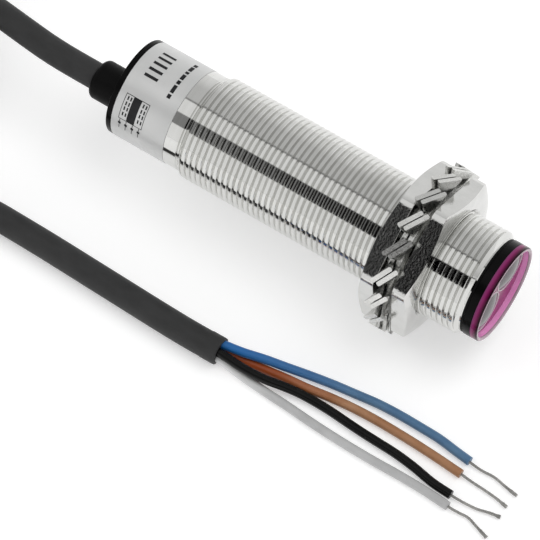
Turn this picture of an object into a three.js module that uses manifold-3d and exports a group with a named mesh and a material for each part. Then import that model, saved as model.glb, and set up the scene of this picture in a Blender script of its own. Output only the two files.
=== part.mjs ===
// Cylindrical M18 photoelectric sensor with two lock nuts, two toothed lock washers and a 2 m cable.
// Millimetres. +X runs along the barrel towards the lenses, +Z is up, z = 0 is the surface it lies on.
// Axial stations are counted from the rear end of the barrel and moved into the frame by REAR_X.

import * as THREE from "three";
import { mergeVertices } from "three/addons/utils/BufferGeometryUtils.js";
import Module from "manifold-3d";

const wasm = await Module();
wasm.setup();

// Frame
const REAR_X = -30.9; // rear end of the barrel
const AXIS_Z = 14.4; // barrel axis above the surface, set by the washer teeth
const ROUND = 64; // facets of every turned piece

// Barrel
const BORE_R = 7.5;
const REAR_R = 8.4; // smooth rear length
const LABEL_SEAT_R = 8.3;
const THREAD_R = 9; // M18 x 1 crest
const LABEL_END = 10.05;
const BAND_END = 12.4;
const THREAD_START = 12.9;
const THREAD_END = 65.3;
const BARREL_END = 65.5;

// Rear end: the cable leaves on one side, the trimmer and the indicator share the other
const CAP_FLANGE = [-1, -0.05];
const CAP_PLUG_R = 7.45;
const CAP_PLUG_END = 5;
const GLAND_Y = -1.9;
const GLAND_R = 3.4;
const GLAND_END = -6.8;
const GLAND_STEM_R = 2.85;
const GLAND_STEM_END = 6;
const TRIMMER_YZ = [4.7, 1.2];
const INDICATOR_YZ = [3, -4.6];

// Front end
const FRONT_R = 8.3;
const HOLDER_FLANGE = [65.9, 67.3];
const HOLDER_REAR = 51.5;
const HOLDER_R = 7.4;
const WINDOW_SEAT = 66.05;
const WINDOW_FACE = 67.4;
const FRONT_FACE = 68.65;
const RIM_INNER_R = 7.6;
const LENS_OFFSET = 3.75;
const LENS_TILT = THREE.MathUtils.degToRad(25.3); // line through both lenses, from +Y towards +Z
const LENS_R = 3.44;
const LENS_HOLE_R = 3.5;
const OPTIC_BORE_R = 3.2;

// Lock nuts and toothed washers
const NUT_FLATS = 24;
const NUT_THICKNESS = 2.9;
const NUT_BORE_R = 9.2;
const NUT_CORNER_R = 13.65; // the corners are turned down to this radius
const NUT_CHAMFER_SLOPE = 0.38; // axial length for each millimetre of radius
const REAR_NUT = { start: 49.2, flatDeg: 124.5, chamferSide: -1 };
const FRONT_NUT = { start: 55.35, flatDeg: 122.5, chamferSide: 1 };
const WASHER_RING = [9.3, 11.9];
const WASHER_THICKNESS = 0.8;
const TOOTH_COUNT = 18;
const TOOTH_SPAN = [11.6, 14.4];
const TOOTH_LENGTH = [3.5, 4.3];
const TOOTH_TWIST_DEG = [0, 22];
const TOOTH_PHASE_DEG = 104.5;
const REAR_WASHER_X = 52.98;
const FRONT_WASHER_X = 54.08;

// Circuit
const BOARD = { x: [12, 50], halfWidth: 6, halfThickness: 0.5 };
const LEAD_R = 0.45;
const LEADS = [["brown", -1, 1], ["white", 1, 1], ["blue", -1, -1], ["black", 1, -1]];
const SEAT_GAP = 0.05;

// Cable, put away as a tied hank beyond the rear end
const CABLE_D = 4.6;
const CORE_D = 1.5;
const STRAND_D = 0.6;
const MEET_GAP = 0.3;
const HANK = { x: [-134, -88], y: -14.5, innerR: 13.8, columns: 3, rows: 3, bottom: 1 };
const TIE = { north: -132, south: -111, width: 4, thickness: 0.7 };
const CABLE_START = [
  [-38, -1.9, 14.4],
  [-41, -1.9, 14.4],
  [-44.5, -1.9, 14.5],
  [-48, -1.9, 14.9],
  [-52, -1.8, 15.6],
  [-56, -1.7, 16.5],
  [-60, -1.5, 17.1],
  [-64, -1.2, 17.4],
  [-70, -0.9, 17.4],
  [-76, -0.7, 17.4],
  [-84, -0.7, 17.4],
  [-92, -0.7, 17.4],
  [-100, -0.7, 17.4],
  [-107, -0.7, 17.4],
];
const CABLE_END = [
  [-65, -32.2, 2.3],
  [-61.5, -31, 2.3],
  [-57.5, -29.6, 2.3],
  [-53.5, -28.4, 2.3],
  [-49.5, -27.5, 2.3],
  [-45.5, -26.9, 2.3],
  [-41.5, -26.6, 2.3],
  [-38.4, -26.6, 2.3],
  [-30.5, -26.7, 2.3],
  [-23.5, -26.9, 2.3],
  [-16.5, -27.1, 2.3],
  [-9.5, -27.3, 2.3],
  [-3.5, -27.4, 2.3],
  [2.7, -27.3, 2.3],
];
const CORES = {
  blue: {
    insulated: [
      [3, -26.3, 3.1],
      [6, -25.6, 2.7],
      [9.2, -24.5, 2.1],
      [12.8, -23.5, 1.5],
      [16.5, -22.5, 1],
      [20.5, -21.7, 0.8],
      [24.2, -21.2, 0.8],
      [28, -20.7, 0.8],
      [31.6, -20.5, 0.8],
      [35.7, -20.5, 0.8],
      [39.5, -20.6, 0.8],
      [42.7, -21, 0.8],
      [45.4, -21.3, 0.8],
    ],
    bare: [
      [45.7, -21.4, 0.5],
      [47.7, -21.5, 0.5],
      [49.9, -21.4, 0.5],
      [52.1, -21.8, 0.5],
      [54.5, -22.2, 0.5],
    ],
  },
  brown: {
    insulated: [
      [3, -26.5, 1.5],
      [5.5, -26.2, 1.2],
      [9.7, -25.5, 0.9],
      [13.7, -24.9, 0.8],
      [17.5, -24.5, 0.8],
      [21.3, -23.9, 0.8],
      [25, -23.5, 0.8],
      [29, -23.3, 0.8],
      [32.9, -23.3, 0.8],
      [37, -23.4, 0.8],
      [41.1, -23.6, 0.8],
      [45.4, -23.9, 0.8],
    ],
    bare: [
      [45.7, -23.9, 0.5],
      [47.5, -24, 0.5],
      [49.5, -24.1, 0.5],
      [51.9, -24.3, 0.5],
      [54.2, -24.7, 0.5],
    ],
  },
  black: {
    insulated: [
      [3, -27.9, 3.1],
      [7.4, -28, 2.8],
      [11.3, -27.5, 2.2],
      [14.1, -26.7, 1.6],
      [16.7, -26.1, 1.1],
      [19.5, -25.9, 0.9],
      [22.5, -25.9, 0.8],
      [25.5, -26.1, 0.8],
      [28.8, -26.3, 0.8],
      [31.7, -26.4, 0.8],
      [34.8, -26.5, 0.8],
      [38.5, -26.9, 0.8],
      [42.5, -27.6, 0.8],
      [46, -27.8, 0.8],
    ],
    bare: [
      [46.3, -27.8, 0.5],
      [48.5, -27.7, 0.5],
      [50.6, -27.5, 0.5],
      [52.5, -27, 0.5],
      [54.3, -26.7, 0.5],
    ],
  },
  white: {
    insulated: [
      [3, -28.1, 1.5],
      [5.5, -28.3, 1.2],
      [8, -28.5, 1],
      [12.2, -28.7, 0.8],
      [16.4, -28.9, 0.8],
      [20.6, -29.2, 0.8],
      [24.8, -29.4, 0.8],
      [28.9, -29.5, 0.8],
      [32.9, -29.5, 0.8],
      [36.8, -29.4, 0.8],
      [40.7, -29.4, 0.8],
      [43.7, -29.5, 0.8],
      [46.6, -29.7, 0.8],
    ],
    bare: [
      [46.9, -29.7, 0.5],
      [48.5, -29.6, 0.5],
      [50.1, -29.5, 0.5],
      [52.1, -30.1, 0.5],
      [54.3, -30.8, 0.5],
    ],
  },
};

const LOOKS = {
  nickel: { color: 0xc4c4c0, roughness: 0.22, metalness: 1 },
  zinc: { color: 0xb8b8b2, roughness: 0.28, metalness: 1 },
  label: { color: 0xc9cac8, roughness: 0.45, metalness: 0.3 },
  blackPlastic: { color: 0x141414, roughness: 0.35, metalness: 0 },
  rubber: { color: 0x101010, roughness: 0.7, metalness: 0 },
  jacket: { color: 0x2c2d2d, roughness: 0.6, metalness: 0 },
  magenta: { color: 0xc0267e, roughness: 0.08, metalness: 0, transparent: true, opacity: 0.7 },
  clear: { color: 0xdfe3e3, roughness: 0.05, metalness: 0, transparent: true, opacity: 0.6 },
  amber: { color: 0xe08a1c, roughness: 0.2, metalness: 0 },
  board: { color: 0x1c5a34, roughness: 0.5, metalness: 0 },
  chip: { color: 0x1a1a1c, roughness: 0.5, metalness: 0 },
  brass: { color: 0xb08a3c, roughness: 0.35, metalness: 1 },
  blue: { color: 0x2a6da8, roughness: 0.45, metalness: 0 },
  brown: { color: 0x8a4a22, roughness: 0.45, metalness: 0 },
  black: { color: 0x101012, roughness: 0.4, metalness: 0 },
  white: { color: 0xd8d8d6, roughness: 0.4, metalness: 0 },
  tinned: { color: 0x9a9a96, roughness: 0.35, metalness: 1 },
};

const part = new THREE.Group();
part.name = "photoelectric_sensor";

function addPiece(name, look, geometry, offsetYZ = null) {
  if (offsetYZ) {
    geometry.translate(REAR_X, offsetYZ[0], AXIS_Z + offsetYZ[1]);
  }
  const mesh = new THREE.Mesh(geometry, new THREE.MeshStandardMaterial(LOOKS[look]));
  mesh.name = name;
  part.add(mesh);
}

// A body turned about the X axis from [station, radius] points, outer wall in rising stations.
function turned(profile, facets = ROUND) {
  const points = profile.map(([station, radius]) => new THREE.Vector2(radius, station));
  return new THREE.LatheGeometry(points, facets).rotateZ(-Math.PI / 2);
}

function ring(start, end, innerR, outerR, facets = ROUND) {
  const corners = [[start, innerR], [start, outerR], [end, outerR], [end, innerR], [start, innerR]];
  return turned(corners, facets);
}

function rod(start, end, radius, facets = 24) {
  return turned([[start, 0], [start, radius], [end, radius], [end, 0]], facets);
}

function block(x, y, z) {
  const size = [x, y, z].map(([low, high]) => high - low);
  const middle = [x, y, z].map(([low, high]) => (low + high) / 2);
  return new THREE.BoxGeometry(...size).translate(...middle);
}

function toManifold(geometry) {
  const bare = geometry.clone();
  bare.deleteAttribute("normal");
  bare.deleteAttribute("uv");
  const welded = mergeVertices(bare, 1e-5);
  const vertProperties = new Float32Array(welded.attributes.position.array);
  const triVerts = new Uint32Array(welded.index.array);
  return new wasm.Manifold(new wasm.Mesh({ numProp: 3, vertProperties, triVerts }));
}

function toGeometry(solid) {
  const mesh = solid.getMesh();
  const geometry = new THREE.BufferGeometry();
  geometry.setAttribute("position", new THREE.BufferAttribute(new Float32Array(mesh.vertProperties), 3));
  geometry.setIndex(new THREE.BufferAttribute(new Uint32Array(mesh.triVerts), 1));
  geometry.computeVertexNormals();
  return geometry;
}

function cut(body, tools) {
  return toGeometry(tools.reduce((rest, tool) => rest.subtract(toManifold(tool)), toManifold(body)));
}

function tube(points, diameter, sides, step) {
  const curve = new THREE.CatmullRomCurve3(points.map((p) => new THREE.Vector3(...p)), false, "centripetal");
  const section = new THREE.Shape();
  for (let i = 0; i < sides; i += 1) {
    const angle = (2 * Math.PI * (i + 0.5)) / sides;
    const radius = diameter / 2;
    section[i === 0 ? "moveTo" : "lineTo"](radius * Math.cos(angle), radius * Math.sin(angle));
  }
  const steps = Math.max(2, Math.round(curve.getLength() / step));
  return new THREE.ExtrudeGeometry(section, { steps, extrudePath: curve, bevelEnabled: false });
}

function addBarrel() {
  const profile = [
    [0, BORE_R],
    [0, LABEL_SEAT_R],
    [LABEL_END, LABEL_SEAT_R],
    [LABEL_END, REAR_R],
    [BAND_END, REAR_R],
    [THREAD_START, THREAD_R],
    [THREAD_END - 0.4, THREAD_R],
    [THREAD_END, THREAD_R - 0.4],
    [BARREL_END, THREAD_R - 0.4],
    [BARREL_END, BORE_R],
    [0, BORE_R],
  ];
  addPiece("barrel", "nickel", turned(profile), [0, 0]);
  addPiece("label", "label", ring(SEAT_GAP, LABEL_END - SEAT_GAP, LABEL_SEAT_R + 0.03, REAR_R + 0.03), [0, 0]);
}

function addRearCap() {
  const profile = [
    [CAP_FLANGE[0], 0],
    [CAP_FLANGE[0], REAR_R - 0.15],
    [CAP_FLANGE[0] + 0.15, REAR_R],
    [CAP_FLANGE[1], REAR_R],
    [CAP_FLANGE[1], CAP_PLUG_R],
    [2.4, CAP_PLUG_R],
    [2.4, 6.5],
    [3.6, 6.5],
    [3.6, CAP_PLUG_R],
    [CAP_PLUG_END, CAP_PLUG_R],
    [CAP_PLUG_END, 0],
  ];
  const holes = [
    rod(-2, 7, GLAND_STEM_R + 0.05).translate(0, GLAND_Y, 0),
    rod(-2, 7, 1.9).translate(0, ...TRIMMER_YZ),
    rod(-2, 7, 1.15).translate(0, ...INDICATOR_YZ),
  ];
  addPiece("rear_cap", "blackPlastic", cut(turned(profile), holes), [0, 0]);
  addPiece("rear_seal_ring", "rubber", sealRing(3, 6.98, 0.44), [0, 0]);
}

function sealRing(station, middleR, sectionR) {
  const points = [];
  for (let i = 0; i <= 12; i += 1) {
    const angle = (2 * Math.PI * i) / 12;
    points.push([station - sectionR * Math.cos(angle), middleR + sectionR * Math.sin(angle)]);
  }
  return turned(points);
}

function addGland() {
  const rimR = 1;
  const profile = [[GLAND_END, 0]];
  for (let i = 0; i <= 5; i += 1) {
    const angle = (Math.PI / 2) * (i / 5);
    profile.push([GLAND_END + rimR * (1 - Math.cos(angle)), GLAND_R - rimR * (1 - Math.sin(angle))]);
  }
  profile.push([CAP_FLANGE[0] - SEAT_GAP, GLAND_R], [CAP_FLANGE[0] - SEAT_GAP, GLAND_STEM_R]);
  profile.push([GLAND_STEM_END, GLAND_STEM_R], [GLAND_STEM_END, 0]);
  addPiece("cable_gland", "rubber", turned(profile, 32), [GLAND_Y, 0]);
}

function addTrimmer() {
  const face = CAP_FLANGE[0] + 0.35;
  const rotor = turned([[face, 0], [face, 1.75], [7.3, 1.75], [7.3, 0.8], [9.3, 0.8], [9.3, 0]], 32);
  const slot = block([face - 1, face + 0.7], [-3, 3], [-0.25, 0.25]);
  addPiece("trimmer_rotor", "brass", cut(rotor, [slot]), TRIMMER_YZ);
  const shaftHole = [[7.6, 1], [7.6, 2.3], [11.4, 2.3], [11.4, 0], [9.6, 0], [9.6, 1], [7.6, 1]];
  addPiece("trimmer_body", "chip", turned(shaftHole, 32), TRIMMER_YZ);
}

function addIndicator() {
  addPiece("indicator_lens", "clear", rod(CAP_FLANGE[0] + 0.2, 7.3, 1), INDICATOR_YZ);
  const dome = [[7.6, 0], [7.75, 0.8], [8.3, 1.25], [9, 1.4], [10.8, 1.4], [10.8, 0]];
  addPiece("indicator_led", "amber", turned(dome, 24), INDICATOR_YZ);
}

function addCircuit() {
  const { x, halfWidth, halfThickness } = BOARD;
  const top = halfThickness + SEAT_GAP;
  const board = block(x, [-halfWidth, halfWidth], [-halfThickness, halfThickness]);
  addPiece("circuit_board", "board", board, [0, 0]);
  addPiece("output_transistor", "chip", block([18, 21], [0.5, 5], [top, top + 1.5]), [0, 0]);
  addPiece("voltage_regulator", "chip", block([18, 21], [-5, -0.5], [-top - 1.5, -top]), [0, 0]);
  addPiece("controller_chip", "chip", block([23.5, 30.5], [-3, 3], [top, top + 1.6]), [0, 0]);
  addPiece("supply_capacitor", "chip", rod(34, 40, 2.2), [0, top + 2.25]);
  const leadZ = halfThickness + MEET_GAP + LEAD_R;
  LEADS.forEach(([look, sideY, sideZ], i) => {
    const lead = rod(GLAND_STEM_END + MEET_GAP, 16, LEAD_R, 10);
    addPiece(`inner_lead_${i + 1}`, look, lead, [GLAND_Y + sideY * 0.8, sideZ * leadZ]);
  });
}

function onLensAxis(side) {
  return [side * LENS_OFFSET * Math.cos(LENS_TILT), side * LENS_OFFSET * Math.sin(LENS_TILT)];
}

function addOptics() {
  const holder = [
    [HOLDER_REAR, 0],
    [HOLDER_REAR, HOLDER_R],
    [HOLDER_FLANGE[0], HOLDER_R],
    [HOLDER_FLANGE[0], FRONT_R],
    [HOLDER_FLANGE[1], FRONT_R],
    [HOLDER_FLANGE[1], RIM_INNER_R],
    [WINDOW_SEAT, RIM_INNER_R],
    [WINDOW_SEAT, 0],
  ];
  const windowPiece = [
    [WINDOW_SEAT + SEAT_GAP, 0],
    [WINDOW_SEAT + SEAT_GAP, RIM_INNER_R - 0.05],
    [HOLDER_FLANGE[1] + SEAT_GAP, RIM_INNER_R - 0.05],
    [HOLDER_FLANGE[1] + SEAT_GAP, FRONT_R],
    [FRONT_FACE - 0.15, FRONT_R],
    [FRONT_FACE, FRONT_R - 0.15],
    [FRONT_FACE, RIM_INNER_R + 0.1],
    [FRONT_FACE - 0.1, RIM_INNER_R],
    [WINDOW_FACE, RIM_INNER_R],
    [WINDOW_FACE, 0],
  ];
  const sides = [1, -1];
  const bores = sides.map((side) => rod(50, 70, OPTIC_BORE_R, 40).translate(0, ...onLensAxis(side)));
  const lensHoles = sides.map((side) => rod(60, 70, LENS_HOLE_R, 40).translate(0, ...onLensAxis(side)));
  addPiece("optic_holder", "blackPlastic", cut(turned(holder), bores), [0, 0]);
  addPiece("front_window", "magenta", cut(turned(windowPiece), lensHoles), [0, 0]);
  addPiece("front_gasket", "rubber", ring(BARREL_END + 0.03, HOLDER_FLANGE[0] - 0.03, 7.6, 8.2), [0, 0]);
  addPiece("emitter_lens", "clear", lens(), onLensAxis(1));
  addPiece("receiver_lens", "clear", lens(), onLensAxis(-1));
  addPiece("emitter_led", "clear", diode(), onLensAxis(1));
  addPiece("receiver_diode", "chip", diode(), onLensAxis(-1));
}

function lens() {
  const back = WINDOW_SEAT + SEAT_GAP;
  const edge = WINDOW_FACE;
  const rise = 0.7;
  const profile = [[back, 0], [back, LENS_R]];
  for (let i = 0; i < 6; i += 1) {
    const share = i / 6;
    profile.push([edge + rise * (1 - (1 - share) ** 2), LENS_R * (1 - share)]);
  }
  profile.push([edge + rise, 0]);
  return turned(profile, 40);
}

function diode() {
  const profile = [[52.5, 0], [52.5, 2.8], [53.5, 2.8], [53.5, 2.4], [57, 2.4], [58.4, 1.8], [59, 0.8], [59.1, 0]];
  return turned(profile, 24);
}

// A hexagon nut, chamfered on its front side (chamferSide 1) or its rear side (-1).
function lockNut({ start, flatDeg, chamferSide }) {
  const end = start + NUT_THICKNESS;
  const sharpR = NUT_FLATS / 2 / Math.cos(Math.PI / 6);
  const hexagon = turned([[start, 0], [start, sharpR], [end, sharpR], [end, 0]], 6);
  const chamferR = NUT_FLATS / 2 - 0.2;
  const chamferLength = (NUT_CORNER_R - chamferR) * NUT_CHAMFER_SLOPE;
  const [plainX, cutX] = chamferSide > 0 ? [start, end] : [end, start];
  const shoulderX = cutX - chamferSide * chamferLength;
  const profile = [[plainX, 0], [plainX, NUT_CORNER_R], [shoulderX, NUT_CORNER_R], [cutX, chamferR], [cutX, 0]];
  const blank = turned(chamferSide > 0 ? profile : profile.reverse());
  const body = toManifold(hexagon).intersect(toManifold(blank));
  const threaded = body.subtract(toManifold(rod(start - 1, end + 1, NUT_BORE_R, ROUND)));
  return toGeometry(threaded).rotateX(THREE.MathUtils.degToRad(flatDeg));
}

// One tooth of a lock washer: a bar across the radius, twisted more towards its tip.
function tooth(washerX) {
  const layers = 4;
  const positions = [];
  for (let k = 0; k <= layers; k += 1) {
    const share = k / layers;
    const radius = THREE.MathUtils.lerp(...TOOTH_SPAN, share);
    const length = THREE.MathUtils.lerp(...TOOTH_LENGTH, share);
    const twist = -THREE.MathUtils.degToRad(THREE.MathUtils.lerp(...TOOTH_TWIST_DEG, share));
    for (const [u, w] of [[-1, -1], [1, -1], [1, 1], [-1, 1]]) {
      const along = (u * length) / 2;
      const across = (w * WASHER_THICKNESS) / 2;
      const tangent = along * Math.cos(twist) - across * Math.sin(twist);
      const axial = along * Math.sin(twist) + across * Math.cos(twist);
      positions.push(washerX + axial, radius, tangent);
    }
  }
  const index = [];
  for (let k = 0; k < layers; k += 1) {
    for (let i = 0; i < 4; i += 1) {
      const a = 4 * k + i;
      const b = 4 * k + ((i + 1) % 4);
      index.push(a, b, a + 4, b, b + 4, a + 4);
    }
  }
  const tip = 4 * layers;
  index.push(0, 2, 1, 0, 3, 2, tip, tip + 1, tip + 2, tip, tip + 2, tip + 3);
  const geometry = new THREE.BufferGeometry();
  geometry.setAttribute("position", new THREE.Float32BufferAttribute(positions, 3));
  geometry.setIndex(index);
  return geometry;
}

function toothWasher(washerX) {
  const half = WASHER_THICKNESS / 2;
  let body = toManifold(ring(washerX - half, washerX + half, ...WASHER_RING));
  for (let i = 0; i < TOOTH_COUNT; i += 1) {
    const angle = THREE.MathUtils.degToRad(TOOTH_PHASE_DEG + (360 * i) / TOOTH_COUNT);
    body = body.add(toManifold(tooth(washerX).rotateX(angle)));
  }
  const limit = toManifold(rod(washerX - 3, washerX + 3, TOOTH_SPAN[1], 144));
  return toGeometry(body.intersect(limit));
}

function addFasteners() {
  addPiece("rear_nut", "nickel", lockNut(REAR_NUT), [0, 0]);
  addPiece("front_nut", "nickel", lockNut(FRONT_NUT), [0, 0]);
  addPiece("rear_washer", "zinc", toothWasher(REAR_WASHER_X), [0, 0]);
  addPiece("front_washer", "zinc", toothWasher(FRONT_WASHER_X), [0, 0]);
}

// Outline of a hank run, a slot with round ends, as a shape or as a hole in one.
function slotOutline(path, [left, right], middleY, radius) {
  path.moveTo(left, middleY - radius);
  path.lineTo(right, middleY - radius);
  path.absarc(right, middleY, radius, -Math.PI / 2, Math.PI / 2, false);
  path.lineTo(left, middleY + radius);
  path.absarc(left, middleY, radius, Math.PI / 2, (3 * Math.PI) / 2, false);
  return path;
}

function addHank() {
  const inner = HANK.innerR - CABLE_D / 2;
  const outer = HANK.innerR + (HANK.columns - 0.5) * CABLE_D;
  const outline = slotOutline(new THREE.Shape(), HANK.x, HANK.y, outer);
  outline.holes.push(slotOutline(new THREE.Path(), HANK.x, HANK.y, inner));
  const depth = HANK.rows * CABLE_D;
  const body = new THREE.ExtrudeGeometry(outline, { depth, bevelEnabled: false, curveSegments: 20 });
  addPiece("cable_hank", "jacket", body.translate(0, 0, HANK.bottom));
  const middleR = (inner + outer) / 2;
  addPiece("cable_tie_1", "blackPlastic", tieBand(TIE.north, HANK.y + middleR, outer - inner, depth));
  addPiece("cable_tie_2", "blackPlastic", tieBand(TIE.south, HANK.y - middleR, outer - inner, depth));
}

// A flat strap round one run of the hank.
function tieBand(middleX, middleY, runWidth, runHeight) {
  const gap = MEET_GAP;
  const box = (grow) => [
    [middleY - runWidth / 2 - grow, middleY + runWidth / 2 + grow],
    [HANK.bottom - grow, HANK.bottom + runHeight + grow],
  ];
  const span = [middleX - TIE.width / 2, middleX + TIE.width / 2];
  const wide = [middleX - TIE.width, middleX + TIE.width];
  return cut(block(span, ...box(gap + TIE.thickness)), [block(wide, ...box(gap))]);
}

function addCable() {
  addPiece("cable_start", "jacket", tube(CABLE_START, CABLE_D, 12, 5));
  addHank();
  addPiece("cable_end", "jacket", tube(CABLE_END, CABLE_D, 12, 6));
  for (const [name, { insulated, bare }] of Object.entries(CORES)) {
    addPiece(`core_${name}`, name, tube(insulated, CORE_D, 8, 3));
    addPiece(`strands_${name}`, "tinned", tube(bare, STRAND_D, 8, 2));
  }
}

addBarrel();
addRearCap();
addGland();
addTrimmer();
addIndicator();
addCircuit();
addOptics();
addFasteners();
addCable();

export default part;
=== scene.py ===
"""Cylindrical photoelectric sensor: the looks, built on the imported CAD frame.

Blender units are metres and +X runs towards the lenses; lengths along the barrel are in millimetres.
"""

import math

import bmesh
import bpy
from mathutils import Matrix, Vector


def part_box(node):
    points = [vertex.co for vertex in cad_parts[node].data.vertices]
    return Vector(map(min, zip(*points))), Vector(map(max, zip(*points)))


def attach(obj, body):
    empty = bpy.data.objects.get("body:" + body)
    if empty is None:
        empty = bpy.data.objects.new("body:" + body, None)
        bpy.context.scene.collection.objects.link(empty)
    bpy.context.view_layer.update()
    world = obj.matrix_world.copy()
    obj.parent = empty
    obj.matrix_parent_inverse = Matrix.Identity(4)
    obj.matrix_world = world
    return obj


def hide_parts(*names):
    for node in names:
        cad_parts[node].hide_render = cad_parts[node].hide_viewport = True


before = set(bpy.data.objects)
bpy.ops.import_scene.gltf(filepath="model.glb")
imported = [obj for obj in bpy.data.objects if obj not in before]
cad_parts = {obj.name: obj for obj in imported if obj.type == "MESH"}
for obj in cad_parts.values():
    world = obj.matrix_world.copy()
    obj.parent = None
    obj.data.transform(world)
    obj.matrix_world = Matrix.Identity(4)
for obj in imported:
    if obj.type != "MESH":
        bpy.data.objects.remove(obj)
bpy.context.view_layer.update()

MM = 0.001
ROUND = 112  # segments of a turned piece
HOLE_SEGMENTS = 64

# Driving places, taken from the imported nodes
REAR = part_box("barrel")[0][0]  # rear end of the barrel
AXIS_Y = (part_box("barrel")[0][1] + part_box("barrel")[1][1]) / 2
AXIS_Z = (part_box("barrel")[0][2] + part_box("barrel")[1][2]) / 2
REAR_NUT_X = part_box("rear_nut")[0][0]
FRONT_NUT_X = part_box("front_nut")[0][0]
NUT_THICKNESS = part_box("front_nut")[1][0] - FRONT_NUT_X

# Camera
CAMERA_TARGET = (4.89 * MM, -16.34 * MM, 14.4 * MM)
CAMERA_AZIMUTH = 33.47
CAMERA_ELEVATION = 60.69
CAMERA_DISTANCE = 520.1 * MM
CAMERA_LENS = 222.7

# Light: a lit tent as (turn round the barrel's axis in degrees, brightness), and two soft lamps
TENT_BANDS = [
    (-180, 0.8),
    (0, 0.92),
    (25, 0.8),
    (45, 0.62),
    (82.5, 0.6),
    (83.4, 0.15),
    (85.6, 0.15),
    (86.5, 0.9),
    (118.5, 0.9),
    (119.5, 0.0),
    (145, 0.0),
    (146, 0.92),
    (180, 0.98),
]
SPILL_FROM = 0.262  # how far a direction leans to the cable end before the dark card there catches light
SPILL_GAIN = 8.0
SPILL_MOST = 0.26
LAMP_TARGET = (0.0, 0.0, 0.01)

# Along the barrel, in millimetres from its rear end
BORE_R = 7.6
REAR_R = 8.4
LABEL_END = 10.05
LABEL_R = 8.43
PRINT_R = 8.445
BAND_END = 12.4
RELIEF_R = 8.18  # the step between the smooth band and the thread
THREAD_SPAN = (12.9, 65.3)
THREAD_PITCH = 1.0
THREAD_ENDS_R = 8.25
THREAD_RUNOUT = 1.2  # rise of the chamfer at the thread's ends, per millimetre
THREAD_PHASE = 0.24
THREAD_SEGMENTS = 96
THREAD_LEAD = 2  # turns of the helix beyond each end, pressed flat into the end's ring
# One pitch of the thread as (share of the pitch, radius): a flat crest and a narrow groove
THREAD_FORM = [
    (-0.36, 8.87),
    (-0.25, 8.995),
    (0.0, 9.0),
    (0.25, 8.995),
    (0.36, 8.87),
    (0.45, 8.66),
    (0.5, 8.62),
    (0.55, 8.66),
]
CAP_REAR = -1.0
CAP_PLUG_R = 7.5
CAP_PLUG_END = 4.9
CAP_HOLES = {"cable_gland": 2.95, "trimmer_rotor": 1.9, "indicator_lens": 1.15}  # radii
GLAND_REAR = -6.8
GLAND_R = 3.4
GLAND_BORE_R = 2.33
FLANGE = (65.9, 67.3)
WINDOW_FACE = 67.4
FRONT_FACE = 68.65
FRONT_R = 8.3
RIM_INNER_R = 7.6
RECESS_FLOOR = 66.1
OPTICS_REAR = 51.5
OPTICS_R = 7.4
OPTICS_BORE_R = 3.2
WINDOW_HOLE_R = 3.5
BORING = (50, 70)  # how far the cutters of the lens holes reach
LENSES = ("emitter_lens", "receiver_lens")
LENS_R = 3.44
LENS_RISE = 0.7

# Lock nuts, in millimetres
NUT_FLAT_R = 12.0
NUT_CORNER_R = 13.65  # the corners are turned down to this radius
NUT_CHAMFER_R = 11.85
NUT_CHAMFER_SLOPE = 0.38
NUT_EDGE = 0.06
NUT_BORE_R = 9.03
NUT_BORE_CHAMFER = 0.5
NUT_POINTS_PER_FLAT = 24
REAR_NUT_FLAT_DEG = 124.5
FRONT_NUT_FLAT_DEG = 122.5

# Toothed washers, in millimetres; pairs are a tooth's root and its tip
WASHER_THICKNESS = 0.75
WASHER_BORE_R = 9.3
WASHER_RING_R = 11.7
WASHER_SEGMENTS = 96
TEETH = 18
TOOTH_PHASE_DEG = 104.5
TOOTH_R = (11.3, 14.35)
TOOTH_LENGTH = (3.3, 4.3)
TOOTH_TWIST_DEG = 31.0
TOOTH_TWIST_GAIN = 1.15  # the twist is complete a little before the tip
TOOTH_CORNER = 0.16
TOOTH_LAYERS = 7

# Cable
CABLE_D = 4.6 * MM
CABLE_STEP = 1.5  # spacing of a route's points in millimetres, once smoothed
CORE_D = 1.5 * MM
CORE_STEP = 0.8
STRAND_D = 0.17 * MM
STRAND_STEP = 0.35
STRANDS = 6
STRAND_PITCH = 3.2
STRAND_LAY_R = 0.16
STRAND_OPENS_AT = 0.75  # share of the bare length where the strands start to open
STRAND_OPENING = 1.1
STRAND_FLOOR = 0.12  # the lowest that a strand's middle lies
HANK_EAST = -88.0
HANK_WEST = -134.0
HANK_Y = -14.5
HANK_RADII = (13.8, 18.4, 23.0)
HANK_ROWS = (12.5, 7.9, 3.3)
HANK_POINTS_PER_TURN = 84
HANK_TURNS = (-0.13, 8.5)  # where the hank starts and ends, in turns
TIE_STRAP = 0.7 * MM
TIE_EDGE = 0.2 * MM
TIE_CORNER_R = 2.4 * MM
CABLE_START = [
    (-36, -1.9, 14.4),
    (-38, -1.9, 14.4),
    (-41, -1.9, 14.4),
    (-44.5, -1.9, 14.5),
    (-48, -1.9, 14.9),
    (-52, -1.8, 15.6),
    (-56, -1.7, 16.4),
    (-60, -1.5, 16.9),
    (-64, -1.2, 17.1),
    (-70, -0.9, 17.1),
    (-76, -0.7, 17.1),
    (-84, -0.7, 17.1),
    (-92, -0.7, 17.1),
    (-100, -0.7, 17.1),
]
CABLE_END = [
    (-84, -37.2, 3.2),
    (-80, -36.6, 3.0),
    (-76, -35.7, 2.7),
    (-72, -34.5, 2.4),
    (-68, -33.1, 2.3),
    (-65, -32.2, 2.3),
    (-61.5, -31, 2.3),
    (-57.5, -29.6, 2.3),
    (-53.5, -28.4, 2.3),
    (-49.5, -27.5, 2.3),
    (-45.5, -26.9, 2.3),
    (-41.5, -26.6, 2.3),
    (-38.4, -26.6, 2.3),
    (-30.5, -26.7, 2.3),
    (-23.5, -26.9, 2.3),
    (-16.5, -27.1, 2.3),
    (-9.5, -27.3, 2.3),
    (-3.5, -27.4, 2.3),
    (2.7, -27.3, 2.3),
]
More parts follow.
